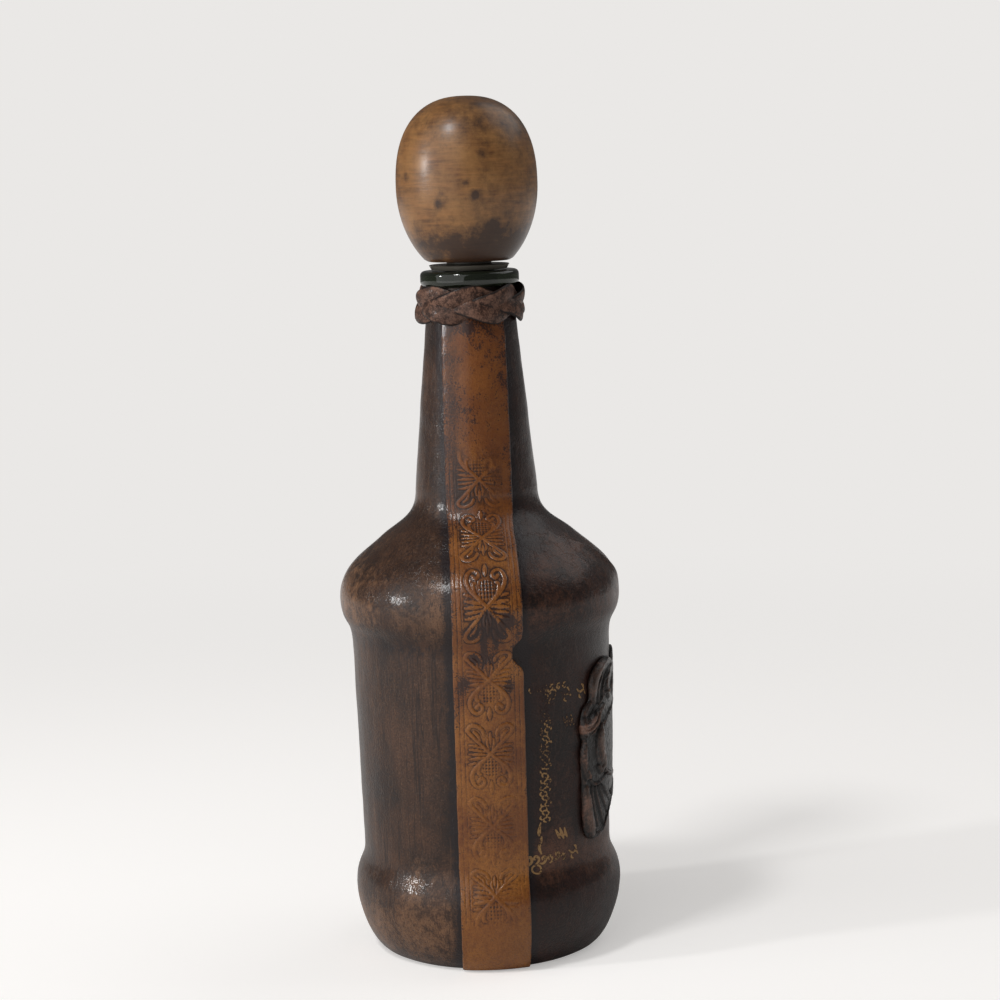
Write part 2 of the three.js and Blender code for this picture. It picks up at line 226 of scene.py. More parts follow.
glass_bottom = 1.9 * mm
foot_ring_radius = 34.5 * mm
foot_radius, foot_height = 42.4 * mm, 21 * mm
waist_low_radius, waist_low_height = 39.1 * mm, 35 * mm
waist_high_radius, waist_high_height = 40.6 * mm, 101.5 * mm
shoulder_radius, shoulder_height = 44.3 * mm, 118 * mm
slope_radius, slope_height = 30.7 * mm, 136 * mm
neck_root_radius, neck_root_height = 18.2 * mm, 153 * mm
neck_top_radius, lip_bottom = 11.8 * mm, 219.4 * mm
slope_run, slope_rise = slope_radius - neck_root_radius, neck_root_height - slope_height
# How far the corners of each curve stand from its ends, as shares of the way to the next outline point.
slope_share, pitch_share, root_share = 0.42, 0.66, 0.62
heel_share, ease_share, tuck_share, crown_share = 0.4, 0.5, 0.7, 0.5

heel = bezier(
    (foot_ring_radius, glass_bottom),
    (foot_ring_radius + heel_share * (foot_radius - foot_ring_radius), glass_bottom),
    (foot_radius, foot_height - heel_share * (foot_height - glass_bottom)),
    (foot_radius, foot_height), count=50)
wall = np.concatenate([
    heel,
    bezier((foot_radius, foot_height),
           (foot_radius, foot_height + ease_share * (waist_low_height - foot_height)),
           (waist_low_radius, waist_low_height - ease_share * (waist_low_height - foot_height)),
           (waist_low_radius, waist_low_height)),
    bezier((waist_low_radius, waist_low_height), (waist_high_radius, waist_high_height)),
    bezier((waist_high_radius, waist_high_height),
           (waist_high_radius, waist_high_height + tuck_share * (shoulder_height - waist_high_height)),
           (shoulder_radius, shoulder_height - ease_share * (shoulder_height - waist_high_height)),
           (shoulder_radius, shoulder_height)),
    bezier((shoulder_radius, shoulder_height),
           (shoulder_radius, shoulder_height + crown_share * (slope_height - shoulder_height)),
           (slope_radius + slope_share * slope_run, slope_height - slope_share * pitch_share * slope_rise),
           (slope_radius, slope_height)),
    bezier((slope_radius, slope_height),
           (slope_radius - slope_share * slope_run, slope_height + slope_share * pitch_share * slope_rise),
           (neck_root_radius, neck_root_height - root_share * slope_rise),
           (neck_root_radius, neck_root_height)),
    bezier((neck_root_radius, neck_root_height), (neck_top_radius, lip_bottom)),
    [(neck_top_radius, lip_bottom)],
])
wall_run = np.concatenate([[0], np.cumsum(np.hypot(*np.diff(wall, axis=0).T))])
wall_slope = np.gradient(wall, wall_run, axis=0)
wall_slope /= np.hypot(*wall_slope.T)[:, None]


def over_wall(azimuth, run, offset):
    """Points over the glass: by azimuth, by the run along its wall from the foot ring and by offset."""
    radius = np.interp(run, wall_run, wall[:, 0]) + offset * np.interp(run, wall_run, wall_slope[:, 1])
    height = np.interp(run, wall_run, wall[:, 1]) - offset * np.interp(run, wall_run, wall_slope[:, 0])
    return np.stack([radius * np.cos(azimuth), radius * np.sin(azimuth), height], axis=1)


def run_at(height):
    """The run along the wall at a height."""
    return np.interp(height, wall[:, 1], wall_run)


glass_thickness = 3.2 * mm
bore_radius, bore_depth = 9.3 * mm, 30 * mm
lip_radius, lip_height, lip_edge = 16.1 * mm, 5 * mm, 1.5 * mm
mouth = lip_bottom + lip_height
mouth_edge = 0.9 * mm
floor_thickness, punt_radius, punt_height = 5 * mm, 24 * mm, 9 * mm
floor_share = 0.9


def rounded(centre_radius, centre_height, radius, start, end, count=8):
    """Points of a round edge in a profile, between two angles in degrees."""
    angles = np.radians(np.linspace(start, end, count))
    return [(centre_radius + radius * math.cos(a), centre_height + radius * math.sin(a)) for a in angles]


inner_wall = [
    (wall[k, 0] - glass_thickness * wall_slope[k, 1], wall[k, 1] + glass_thickness * wall_slope[k, 0])
    for k in range(len(wall) - 1, 0, -1)
    if foot_height / 2 < wall[k, 1] < neck_root_height
]
punt = [(punt_radius * math.cos(a), punt_height * math.sin(a)) for a in np.linspace(math.pi / 2, 0, 12)]
bottle_profile = (
    [(radius, glass_bottom + height) for radius, height in punt]
    + [tuple(point) for point in wall]
    + rounded(lip_radius - lip_edge, lip_bottom + lip_edge, lip_edge, -90, 0)
    + rounded(lip_radius - lip_edge, mouth - lip_edge, lip_edge, 0, 90)
    + rounded(bore_radius + mouth_edge, mouth - mouth_edge, mouth_edge, 90, 180)
    + [(bore_radius, mouth - bore_depth)]
    + inner_wall
    + [(inner_wall[-1][0] * floor_share, glass_bottom + floor_thickness)]
    + [(radius, glass_bottom + floor_thickness + height) for radius, height in reversed(punt)]
)
bottle_profile[0] = (0, bottle_profile[0][1])
bottle_profile[-1] = (0, bottle_profile[-1][1])
bottle = spun("bottle_glass", bottle_profile, 128)
green_glass = principled("dark_green_bottle_glass", {
    "Base Color": linear("262C20"), "Roughness": 0.05, "IOR": 1.52, "Transmission Weight": 0.62})[0]
dressed(bottle, "bottle_glass", "bottle", "green_glass", green_glass, "glass_bottle")


# Leather dress: two halves of vegetable-tanned cowhide, moulded wet over the glass, glued, dyed and waxed.
# The front half is nearly black. It kept a pleat on the shoulder, where the hide was gathered.
leather_gap = 0.3 * mm
leather_thickness = 1.6 * mm
leather_offset = leather_gap + leather_thickness
seam_gap = 0.8 * mm
dress_start = wall_run[2]
dress_end = wall_run[-1] - leather_gap
front, back, left, right = -math.pi / 2, math.pi / 2, math.pi, 0.0
pleat_from = (math.radians(243), 134.4 * mm)
pleat_to = (math.radians(265), 121.6 * mm)
pleat_height, pleat_width = 1.9 * mm, 2.1 * mm
wave_height, ripple_height = 0.16 * mm, 0.07 * mm
even_rim, even_foot = 0.12, 6 * mm
tuck_height = 106 * mm


def marked(piece, name, values):
    """Stores a number from 0 to 1 at each vertex, for the material to read."""
    attribute = piece.data.attributes.new(name, "FLOAT", "POINT")
    attribute.data.foreach_set("value", np.clip(values, 0, 1).astype(np.float32))


def thickened(piece, thickness, offset):
    """Gives a sheet its thickness: inwards from its face for an offset of -1, and to both sides for 0."""
    made_active(piece)
    solidify = piece.modifiers.new("thickness", "SOLIDIFY")
    solidify.thickness = thickness
    solidify.offset = offset
    bpy.ops.object.modifier_apply(modifier=solidify.name)


def waviness(points, size, seed):
    """Smooth noise from -1 to 1 at each point, with bumps of about that size."""
    return np.array([noise.noise(Vector(p) / size + Vector((seed, 0, 0))) for p in points])


def beside(azimuth, middle):
    """Signed angle from a middle azimuth."""
    return (azimuth - middle + math.pi) % (2 * math.pi) - math.pi


def leather_rise(azimuth, run):
    """How far the moulded leather stands off its even layer: slight waves, and the pleat on the shoulder."""
    points = over_wall(azimuth, run, leather_offset)
    rise = wave_height * waviness(points, 16 * mm, 3.0) + ripple_height * waviness(points, 5 * mm, 9.0)
    start, end = (
        over_wall(np.array([turn]), run_at(np.array([height])), leather_offset)[0]
        for turn, height in (pleat_from, pleat_to)
    )
    share = np.clip((points - start) @ (end - start) / np.sum((end - start) ** 2), 0, 1)
    away = np.linalg.norm(points - start - share[:, None] * (end - start), axis=1)
    fade = np.sin(np.pi * np.clip(share * 0.86 + 0.1, 0, 1))
    return rise + pleat_height * fade * np.exp(-((away / pleat_width) ** 2))


def moulded_half(middle):
    """One half of the dress: a grid moulded over the glass, even at its rims, then thickened inwards."""
    bpy.ops.object.select_all(action="DESELECT")
    bpy.ops.mesh.primitive_grid_add(x_subdivisions=150, y_subdivisions=240, size=2)
    sheet = bpy.context.object
    across, up = places_of(sheet)[:, :2].T
    run = dress_start + (dress_end - dress_start) * (up + 1) / 2
    radius = np.interp(run, wall_run, wall[:, 0]) + leather_offset
    azimuth = middle + across * (math.pi / 2 - seam_gap / 2 / radius)
    waved = np.clip((1 - np.abs(across)) / even_rim, 0, 1) * np.clip((run - dress_start) / even_foot, 0, 1)
    places = over_wall(azimuth, run, leather_offset + waved * leather_rise(azimuth, run))
    sheet.data.vertices.foreach_set("co", places.ravel())
    sheet.data.update()
    thickened(sheet, leather_thickness, -1)
    return sheet


def leather(name, dark, body, worn, streak_turn=0, streaks=0.35, roughness=0.42, coat=0.25, creases=0.4,
            relief=None, stain_and_shade="1B1214", fuzz=0.25, veins=0.7, scores=0.0):
    """Waxed leather: mottled dye, rubbed places that show lighter hide, stains, pores, creases and scratches.
    The wear and stain marks say where; the stain marks also carry painted shade on the dress. Relief colours
    are for the recesses and ridges of tooled leather: antique dye in the strap's tooling, painted shade in
    the crest's grooves and at the thongs' edges, and painted highlight on the crest's ridges."""
    material, tree, surface = principled(name, {
        "Specular IOR Level": 0.22, "Coat Weight": coat, "Coat Roughness": 0.11})
    place = add_node(tree, "TexCoord").outputs["Object"]

    def mixed(factor, first, second):
        colours = {6: first, 7: second}
        values = {socket: linear(colour) for socket, colour in colours.items() if isinstance(colour, str)}
        links = {socket: colour for socket, colour in colours.items() if not isinstance(colour, str)}
        return add_node(tree, "Mix", values, {0: factor, **links}, data_type="RGBA").outputs[2]

    def ranged(source, low, high, top=1.0, bottom=0.0):
        values = {"From Min": low, "From Max": high, "To Min": bottom, "To Max": top}
        return add_node(tree, "MapRange", values, {"Value": source}).outputs[0]

    def summed(first, second):
        return add_node(tree, "Math", links={0: first, 1: second}, operation="ADD").outputs[0]

    def attribute(attribute_name):
        return add_node(tree, "Attribute", attribute_name=attribute_name).outputs["Fac"]

    def noisy(scale, detail, vector=place, rough=0.65):
        return add_node(tree, "TexNoise", {"Scale": scale, "Detail": detail, "Roughness": rough},
                        {"Vector": vector}).outputs["Fac"]

    def from_middle(source):
        less = add_node(tree, "Math", {1: 0.5}, {0: source}, operation="SUBTRACT")
        return add_node(tree, "Math", links={0: less.outputs[0]}, operation="ABSOLUTE").outputs[0]

    clouds = noisy(60, 8)
    speckle = noisy(430, 6, rough=0.72)
    grain = noisy(1700, 3, rough=0.7)
    turned = add_node(tree, "Mapping", {"Rotation": (math.radians(streak_turn), 0, 0)}, {"Vector": place})
    along = add_node(tree, "Mapping", {"Scale": (1, 1, 0.045)}, {"Vector": turned.outputs[0]})
    brushed = noisy(380, 6, along.outputs[0], 0.75)
    slant = add_node(tree, "Mapping", {"Rotation": (0.7, 0.5, 0.4), "Scale": (1, 1, 0.35)},
                     {"Vector": place})
    folds = ranged(from_middle(noisy(150, 6, slant.outputs[0], 0.6)), 0.02, 0, creases)
    scored = ranged(from_middle(noisy(170, 3, along.outputs[0], 0.6)), 0.016, 0.002)
    scored = add_node(tree, "Math", links={0: scored, 1: ranged(clouds, 0.4, 0.58, scores)},
                      operation="MULTIPLY").outputs[0]
    colour = mixed(ranged(clouds, 0.36, 0.66), dark, body)
    colour = mixed(ranged(brushed, 0.44, 0.3, 0.85), colour, dark)
    colour = mixed(ranged(summed(speckle, attribute("wear")), 0.66, 1.02), colour, worn)
    colour = mixed(ranged(brushed, 0.56, 0.7, streaks), colour, worn)
    colour = mixed(ranged(grain, 0.48, 0.38, 0.6), colour, dark)
    colour = mixed(ranged(grain, 0.54, 0.68, fuzz), colour, worn)
    colour = mixed(ranged(folds, 0, 1, veins), colour, worn)
    colour = mixed(scored, colour, dark)
    wrinkled = summed(ranged(speckle, 0, 1, 0.9), summed(folds, ranged(brushed, 0.3, 0.7, 0.25)))
    height = summed(wrinkled, ranged(grain, 0.3, 0.7, 0.35))
    # Relief colours: antique dye on the strap, painted shade and painted highlight on the crest, painted
    # shade at the thongs' edges.
    if relief:
        carved = attribute("relief")
        shade = summed(carved, ranged(speckle, 0.38, 0.62, 0.07, -0.07))
        colour = mixed(ranged(shade, 0.42, 0.22, 0.95), colour, relief[0])
        colour = mixed(ranged(carved, 0.6, 0.95, 0.5), colour, relief[1])
    # Stains darken towards the stain colour, and so does the painted shade that the marks carry.
    blotted = summed(summed(speckle, attribute("stain_and_shade")), ranged(grain, 0.38, 0.62, 0.15, -0.15))
    colour = mixed(ranged(blotted, 0.8, 0.97, 0.92), colour, stain_and_shade)
    tree.links.new(colour, surface.inputs["Base Color"])
    pores = add_node(tree, "TexVoronoi", {"Scale": 1200}, {"Vector": place}).outputs["Distance"]
    height = summed(height, ranged(pores, 0, 0.6, 0.5))
    bump = add_node(tree, "Bump", {"Strength": 0.6, "Distance": 0.25 * mm}, {"Height": height})
    waxed = add_node(tree, "Bump", {"Strength": 0.34, "Distance": 0.3 * mm}, {"Height": wrinkled})
    tree.links.new(bump.outputs[0], surface.inputs["Normal"])
    tree.links.new(waxed.outputs[0], surface.inputs["Coat Normal"])
    tree.links.new(ranged(clouds, 0.3, 0.7, roughness + 0.1, roughness - 0.08), surface.inputs["Roughness"])
    return material


def dress_marks(piece, bands):
    """Marks a half's rubbed bands, each as (height, half height, how much), and its darkening: random stains,
    dye with painted shade along the straps' edges, and painted shade in the tuck below the shoulder."""
    places = places_of(piece)
    azimuth = np.arctan2(places[:, 1], places[:, 0])
    radius = np.hypot(places[:, 0], places[:, 1])
    wear = 0.02 + 0.22 * waviness(places, 24 * mm, 5.0) + 0.12 * waviness(places * (1, 1, 0.3), 6 * mm, 7.0)
    wear += 0.16 * waviness(places * (1, 1, 0.12), 10 * mm, 14.0) * (places[:, 2] < waist_high_height)
    for height, spread, much in bands:
        wear += much * np.exp(-(((places[:, 2] - height) / spread) ** 2))
    marked(piece, "wear", wear)
    beside_strap = np.minimum(np.abs(beside(azimuth, left)), np.abs(beside(azimuth, right))) * radius
    # Dye with painted shade: a dark band along each strap's edge.
    dye_and_shade = 0.52 * np.exp(-(((beside_strap - 11.5 * mm) / (2.4 * mm)) ** 2))
    # Painted shade in the tuck below the shoulder.
    dye_and_shade += 0.17 * np.exp(-(((places[:, 2] - tuck_height) / (3.5 * mm)) ** 2))
    marked(piece, "stain_and_shade", dye_and_shade + 0.12 + 0.2 * waviness(places, 30 * mm, 2.0))


back_leather = leather("dark_brown_cowhide", "1D110D", "482F20", "7F5B40", streaks=0.3, coat=0.4,
                       veins=0.22, scores=0.9)
front_leather = leather("black_brown_cowhide", "140A08", "2E1610", "5C3B2B", streak_turn=38, streaks=0.25,
                        coat=0.3, veins=0.35, scores=0.5)
back_dress = moulded_half(back)
dress_marks(back_dress, [(118 * mm, 8 * mm, 0.27), (129 * mm, 4 * mm, 0.14), (13 * mm, 11 * mm, 0.3)])
dressed(back_dress, "back_dress", "bottle", "back_leather", back_leather, "back_leather")
front_dress = moulded_half(front)
dress_marks(front_dress, [(117 * mm, 8 * mm, 0.3), (36 * mm, 9 * mm, 0.42), (132 * mm, 8 * mm, 0.2)])
dressed(front_dress, "front_dress", "bottle", "front_leather", front_leather, "front_leather")


# Straps: two bands of tan leather, tooled with an embossing wheel and glued over the seams. The wheel leaves
# crossed stems with leaf fans, volutes and a berry drop, between two ruled borders.
strap_width = 23.0 * mm
strap_thickness = 1.1 * mm
strap_offset = leather_offset + leather_gap + strap_thickness
strap_start = wall_run[8]
collar_height = 12.7 * mm
strap_end = wall_run[-1] - 0.55 * collar_height
skive_length, skive_depth = 9 * mm, 0.8 * mm
motif_pitch, motif_low = 24.0, 13.4
motif_high = motif_pitch - motif_low
field_edge, ruled_lines = 7.9, (8.2, 9.7)
bite_height, bite_depth, bite_above, bite_below = 105.2 * mm, 3.5 * mm, 5.6, 4
# Stains of the left strap in millimetres: place across, height, half width and half height, and how much.
strap_blots = [
    (0.3, 117, 2.4, 3.8, 0.6), (6.6, 117, 1.9, 2.8, 0.58), (-1.2, 109, 1.3, 6, 0.58),
    (2.4, 111, 1.2, 5, 0.5), (4.6, 113, 1.1, 4, 0.45), (-5, 113.5, 3, 2, 0.42),
    (-4.4, 104.4, 1.5, 1.8, 0.56), (0, 103, 3.5, 3.5, 0.34), (-9.2, 93, 1.8, 6, 0.46),
    (-6.5, 96.5, 2.4, 2.6, 0.34), (6.8, 94.5, 2.2, 3, 0.38), (-2, 206, 1.6, 1.3, 0.42),
    (0, 209, 12, 4.5, 0.26), (9, 196, 2, 9, 0.12), (-8.6, 178, 2.6, 30, 0.08), (9.5, 114, 2, 7, 0.22),
]
crossing_run = run_at(97.3 * mm) / mm
emboss_low, emboss_high = run_at(17 * mm) / mm, run_at(168 * mm) / mm

# Strokes of one repeat, for its right side, in millimetres from the crossing: across, along and half width.
stem_stroke = [
    (2.0, 6.4, 0.5), (2.7, 8.0, 0.55), (4.5, 9.2, 0.6), (6.4, 9.1, 0.6), (7.1, 7.5, 0.6), (5.5, 5.6, 0.55),
    (2.9, 3.0, 0.5), (0, 0, 0.5), (-2.7, -2.4, 0.55), (-4.9, -4.4, 0.6), (-6.2, -6.9, 0.65),
    (-5.8, -9.3, 0.6), (-4.4, -10.7, 0.5), (-2.7, -10.2, 0.5), (-2.2, -8.8, 0.5), (-3.2, -7.9, 0.5),
    (-4.1, -8.8, 0.55),
]
leaf_strokes = [
    [(1.3, -0.1, 0.15), (4.0, -0.1, 0.45), (7.0, 0.1, 0.2)],
    [(1.4, 0.7, 0.15), (4.0, 1.2, 0.4), (6.8, 1.5, 0.2)],
    [(1.6, -0.9, 0.15), (4.2, -1.3, 0.45), (6.9, -1.6, 0.2)],
    [(2.6, 1.9, 0.15), (4.6, 2.7, 0.4), (6.9, 3.0, 0.2)],
    [(4.6, -2.7, 0.15), (5.8, -3.1, 0.35), (7.1, -3.3, 0.2)],
    [(3.0, -2.9, 0.2), (3.9, -4.6, 0.45), (4.1, -6.2, 0.5), (3.3, -6.6, 0.35)],
    [(3.3, 4.4, 0.2), (3.9, 6.0, 0.45), (5.2, 7.3, 0.4)],
    [(0.5, 1.5, 0.15), (1.1, 3.4, 0.35), (0.9, 5.0, 0.3)],
]
middle_strokes = [
    [(0, -8.9, 0.2), (0, -10.9, 0.75), (0, -13.0, 0.2)],
    [(0, 3.2, 0.2), (0, 5.0, 0.5), (0, 7.0, 0.2)],
]
berry_middle, berry_size = (0, -4.6), (2.7, 2.9)


def smooth_stroke(stroke, count=5):
    """A stroke's points joined by a smooth curve through them."""
    points = np.array([stroke[0], *stroke, stroke[-1]], float)
    share = np.linspace(0, 1, count, endpoint=False)[:, None]
    pieces = []
    for a, b, c, d in zip(points, points[1:], points[2:], points[3:]):
        pieces.append(0.5 * (2 * b + (c - a) * share + (2 * a - 5 * b + 4 * c - d) * share**2
                             + (3 * b - a - 3 * c + d) * share**3))
    return np.concatenate([*pieces, points[-1:]])


def mirrored(strokes):
    """The strokes and their mirror images."""
    return strokes + [[(-x, *rest) for x, *rest in stroke] for stroke in strokes]


def struck(x, y, strokes, top, full_width):
    """Height of rounded strokes at each point, and the distance to the nearest stroke's edge."""
    height, nearest = np.zeros(len(x)), np.full(len(x), 99.0)
    for stroke in strokes:
        line = smooth_stroke(stroke)
        for (x0, y0, w0), (x1, y1, w1) in zip(line, line[1:]):
            length = max((x1 - x0) ** 2 + (y1 - y0) ** 2, 1e-9)
            share = np.clip(((x - x0) * (x1 - x0) + (y - y0) * (y1 - y0)) / length, 0, 1)
            away = np.hypot(x - x0 - share * (x1 - x0), y - y0 - share * (y1 - y0))
            half = w0 + share * (w1 - w0)
            dome = np.sqrt(np.clip(1 - (away / half) ** 2, 0, 1)) * top
            height = np.maximum(height, dome * np.clip(half / full_width, 0, 1) ** 0.5)
            nearest = np.minimum(nearest, away - half)
    return height, nearest


def emboss(x, y):
    """The wheel's relief at places across and along the strap, all in millimetres. The wheel was run from the
    foot up to the shoulder, then from the neck down, so the upper repeats stand the other way up."""
    repeat = y - crossing_run
    along = (repeat + motif_low) % motif_pitch - motif_low
    along = np.where(repeat > motif_low, -((repeat + motif_high) % motif_pitch - motif_high), along)
    along = np.where((repeat > motif_high) & (repeat < motif_low), 99, along)
    height, edge = struck(x, along, mirrored([stem_stroke, *leaf_strokes]) + middle_strokes, 0.2, 0.55)
    ground = -0.22 * np.clip(edge / 0.1, 0, 1) * np.exp(-np.clip(edge - 0.15, 0, None) / 0.32)
    berry = np.hypot((x - berry_middle[0]) / berry_size[0], (along - berry_middle[1]) / berry_size[1])
    beads = -0.08 + 0.2 * np.cos(np.pi * (x + along) / 1.05) * np.cos(np.pi * (x - along) / 1.05)
    ground = np.where((berry < 1) & (edge > 0.15), beads, ground)
    relief = np.where(edge < 0, height, ground) * np.clip((field_edge - np.abs(x)) / 0.3, 0, 1)
    for line in ruled_lines:
        relief -= 0.17 * np.exp(-(((np.abs(x) - line) / 0.2) ** 2))
    relief += 0.03 * np.cos(2 * np.pi * y / 1.1) * np.exp(-(((np.abs(x) - 8.95) / 0.35) ** 4))
    return relief * np.clip((y - emboss_low) / 2, 0, 1) * np.clip((emboss_high - y) / 8, 0, 1)


def formed(segments, rings, shape):
    """A closed round form, with every vertex moved to the place that shape works out from its first one.
    Shape also fills in the marks: by name, a number from 0 to 1 at each vertex."""
    bpy.ops.object.select_all(action="DESELECT")
    bpy.ops.mesh.primitive_uv_sphere_add(segments=segments, ring_count=rings, radius=1)
    piece = bpy.context.object
    marks = {}
    piece.data.vertices.foreach_set("co", shape(places_of(piece), marks).ravel())
    piece.data.update()
    made_active(piece)
    bpy.ops.object.mode_set(mode="EDIT")
    bpy.ops.mesh.select_all(action="SELECT")
    bpy.ops.mesh.normals_make_consistent(inside=False)
    bpy.ops.object.mode_set(mode="OBJECT")
    for name, values in marks.items():
        marked(piece, name, values)
    return piece


def laid_strap(middle, stained):
    """A strap laid over the seam at an azimuth: a closed round form pressed flat, wide and thin."""
    face_share = 0.84

    def shape(places, marks):
        along = np.arccos(np.clip(places[:, 2], -1, 1)) / np.pi
        turn = (np.arctan2(places[:, 1], places[:, 0]) / (2 * np.pi)) % 1
        on_face = turn <= face_share
        side = np.where(on_face, turn / face_share * 2 - 1, 1 - (turn - face_share) / (1 - face_share) * 2)
        run = strap_end - (strap_end - strap_start) * along
        from_bite = (run - run_at(bite_height)) / mm
        bite_share = np.abs(from_bite / np.where(from_bite > 0, bite_above, bite_below))
        bite = bite_depth * stained * np.exp(-(bite_share**3))
        ragged = 0.15 * mm * waviness(np.stack([run * 0, run, np.sign(side) * mm], axis=1), 5 * mm, 1.0)
        across = side * (strap_width / 2 + ragged - np.where(side > 0, bite, 0))
        tip = (along < 0.0005) | (along > 0.9995)
        across = np.where(tip, 0, across)
        azimuth = middle + across / (np.interp(run, wall_run, wall[:, 0]) + strap_offset)
        on_leather = over_wall(azimuth, run, strap_offset)
        x, z = across / mm, on_leather[:, 2] / mm
        lean = np.clip(across / (5 * mm), -1, 1)
        rubbed = np.clip((z - 136) / 16, 0, 1) * (0.58 + 0.3 * lean)
        low = np.clip((72 - z) / 25, 0, 1)
        rubbed += low * (0.32 + 0.36 * waviness(on_leather, 7 * mm, 5.0) + 0.12 * lean)
        relief = emboss(x, run / mm) * (0.8 + 0.35 * waviness(on_leather, 12 * mm, 2.0)) * mm
        relief *= 1 - rubbed
        round_edge = 0.4 * mm * np.clip(1 - (1 - np.abs(side)) / 0.05, 0, 1) ** 2
        skive = skive_depth * np.clip(1 - (strap_end - run) / skive_length, 0, 1)
        top = strap_offset + leather_rise(azimuth, run) * 0.8 + relief * 0.75 - round_edge - skive
        upper = np.clip((z - 98) / 14, 0, 1) * np.clip((172 - z) / 12, 0, 1)
        inked = upper * (np.abs(x) < field_edge) * (0.5 + 0.5 * waviness(on_leather, 9 * mm, 3.0))
        dusky = (0.05 + 0.13 * np.exp(-(((x + 8.2) / 3) ** 2))) * np.clip((z - 138) / 16, 0, 1)
        marks["relief"] = np.where(on_face, 0.5 + relief / (0.62 * mm) - 0.16 * inked - dusky, 0.5)
        marks["wear"] = 0.3 + 0.3 * waviness(on_leather, 14 * mm, 8.0) - 0.25 * np.clip((z - 120) / 60, 0, 1)
        stain_and_shade = 0.09 + 0.15 * waviness(on_leather, 5 * mm, 6.0) + 0.24 * np.abs(side) ** 12
        stain_and_shade += 0.06 * np.clip((z - 120) / 60, 0, 1) + 0.1 * np.clip((z - 98) / 14, 0, 1)
        stain_and_shade -= 0.75 * np.clip(relief / mm, -0.16, 0.2)
        for blot_x, blot_z, wide, high, much in strap_blots:
            stain_and_shade += stained * much * np.exp(-(((x - blot_x) / wide) ** 2) - (((z - blot_z) / high) ** 2))
        marks["stain_and_shade"] = stain_and_shade
        return over_wall(azimuth, run, np.where(on_face & ~tip, top, strap_offset - strap_thickness))

    return formed(126, 780, shape)


tan_strap = leather("embossed_tan_leather", "643512", "7C4819", "8F5A23", streaks=0.1, coat=0.55,
                    creases=0.1, relief=("24120A", "865628"), stain_and_shade="26120F")
for side, middle, stained in (("left", left, 1), ("right", right, 0)):
    strap = laid_strap(middle, stained)
    dressed(strap, f"{side}_strap_embossed", "bottle", "strap_leather", tan_strap, f"{side}_strap",
            smooth_angle=60)


# Gilding: gold leaf struck into the front leather with hand stamps round the crest, worn through by handling.
# A chain of small scrolls runs up each side, between rows of curls, rings, sprigs and florets.
gilt_lift = 0.05 * mm
gilt_side, gilt_low, gilt_high = 47.4, 36.5, 90.5
chain_pitch = 2.45
scroll_stamp = [
    [(-0.5, -1.3, 0.15), (0.5, -0.8, 0.3), (0.4, 0, 0.22), (-0.6, 0.4, 0.3), (-0.3, 1.3, 0.15)],
    [(0.9, -0.4, 0.15), (1.8, 0.2, 0.32), (1.5, 1.0, 0.15)],
    [(-0.9, 0.3, 0.15), (-1.8, -0.3, 0.32), (-1.4, -1.1, 0.15)],
]
floret_stamp = [
    [(-2.4, -1.6, 0.2), (-1.4, 0.2, 0.5), (-1.0, 2.0, 0.2)],
    [(-0.9, -1.8, 0.2), (0.1, 0.2, 0.6), (0.9, 2.3, 0.2)],
    [(0.7, -1.7, 0.2), (1.5, 0.1, 0.5), (2.6, 1.9, 0.2)],
    [(-2.3, -0.6, 0.2), (0.1, -0.3, 0.35), (2.2, 0.5, 0.2)],
]
ring_stamp = [[(1.6 * math.sin(a), 1.6 * math.cos(a), 0.32) for a in np.linspace(0.2, 6.1, 10)]]
curl_stamp = [[
    (1.0, -1.4, 0.2), (-0.2, -1.1, 0.4), (-0.7, 0.1, 0.45), (0.1, 1.1, 0.45), (0.9, 0.6, 0.3),
    (0.4, -0.1, 0.2),
]]
leaf_stamp = [[(-0.4, -5.2, 0.2), (0.5, -2.8, 0.55), (-0.3, -0.4, 0.4), (0.6, 2.2, 0.65), (0, 5.4, 0.2)]]
sprig_stamp = [
    [(-2.4, -0.8, 0.2), (-1.0, 0.4, 0.4), (0.6, -0.3, 0.35), (2.4, 0.6, 0.2)],
    [(-1.2, 0.8, 0.2), (-0.6, 1.9, 0.4), (0.3, 2.2, 0.2)],
    [(0.8, -0.9, 0.2), (0.6, -1.8, 0.35), (-0.4, -2.2, 0.2)],
]


def placed(stamp, x, y, turn=0.0, size=1.0):
    """A stamp's strokes set at a place, turned and scaled."""
    c, s = math.cos(turn) * size, math.sin(turn) * size
    return [[(x + c * u - s * v, y + s * u + c * v, w * size) for u, v, w in stroke] for stroke in stamp]


side_strokes = placed(leaf_stamp, gilt_side + 1.6, gilt_low + 7)
for k in range(int((gilt_high - gilt_low - 12) / chain_pitch) + 1):
    swing = math.sin(k * 2.4)
    chain_place = gilt_low + 13.5 + k * chain_pitch
    side_strokes += placed(scroll_stamp, gilt_side + 0.3 * swing, chain_place, 0.5 * swing)
for k, size in enumerate((1.15, 1.0, 1.0, 0.95, 1.0, 0.8)):
    curl_place = gilt_side + 5.4 - k * 2.5
    side_strokes += placed(curl_stamp, curl_place, gilt_low + 0.4 * math.sin(k * 2), 0.4 * (-1) ** k, size)
    side_strokes += placed(curl_stamp, curl_place, gilt_high + 2.2, math.pi, 0.7)
side_strokes += placed(ring_stamp, gilt_side + 3.1, gilt_low - 3.2)
side_strokes += placed(ring_stamp, gilt_side - 2.2, gilt_high)
for across, height in ((-8.2, gilt_high - 1.0), (-15.0, gilt_high - 1.1), (-11.5, gilt_low + 0.3)):
    side_strokes += placed(sprig_stamp, gilt_side + across, height, 0.2)
side_strokes += placed(floret_stamp, gilt_side - 9.2, gilt_high - 10)
side_strokes += placed(floret_stamp, gilt_side - 6.4, gilt_low + 7.3)
foil_points, foil_faces = [], []
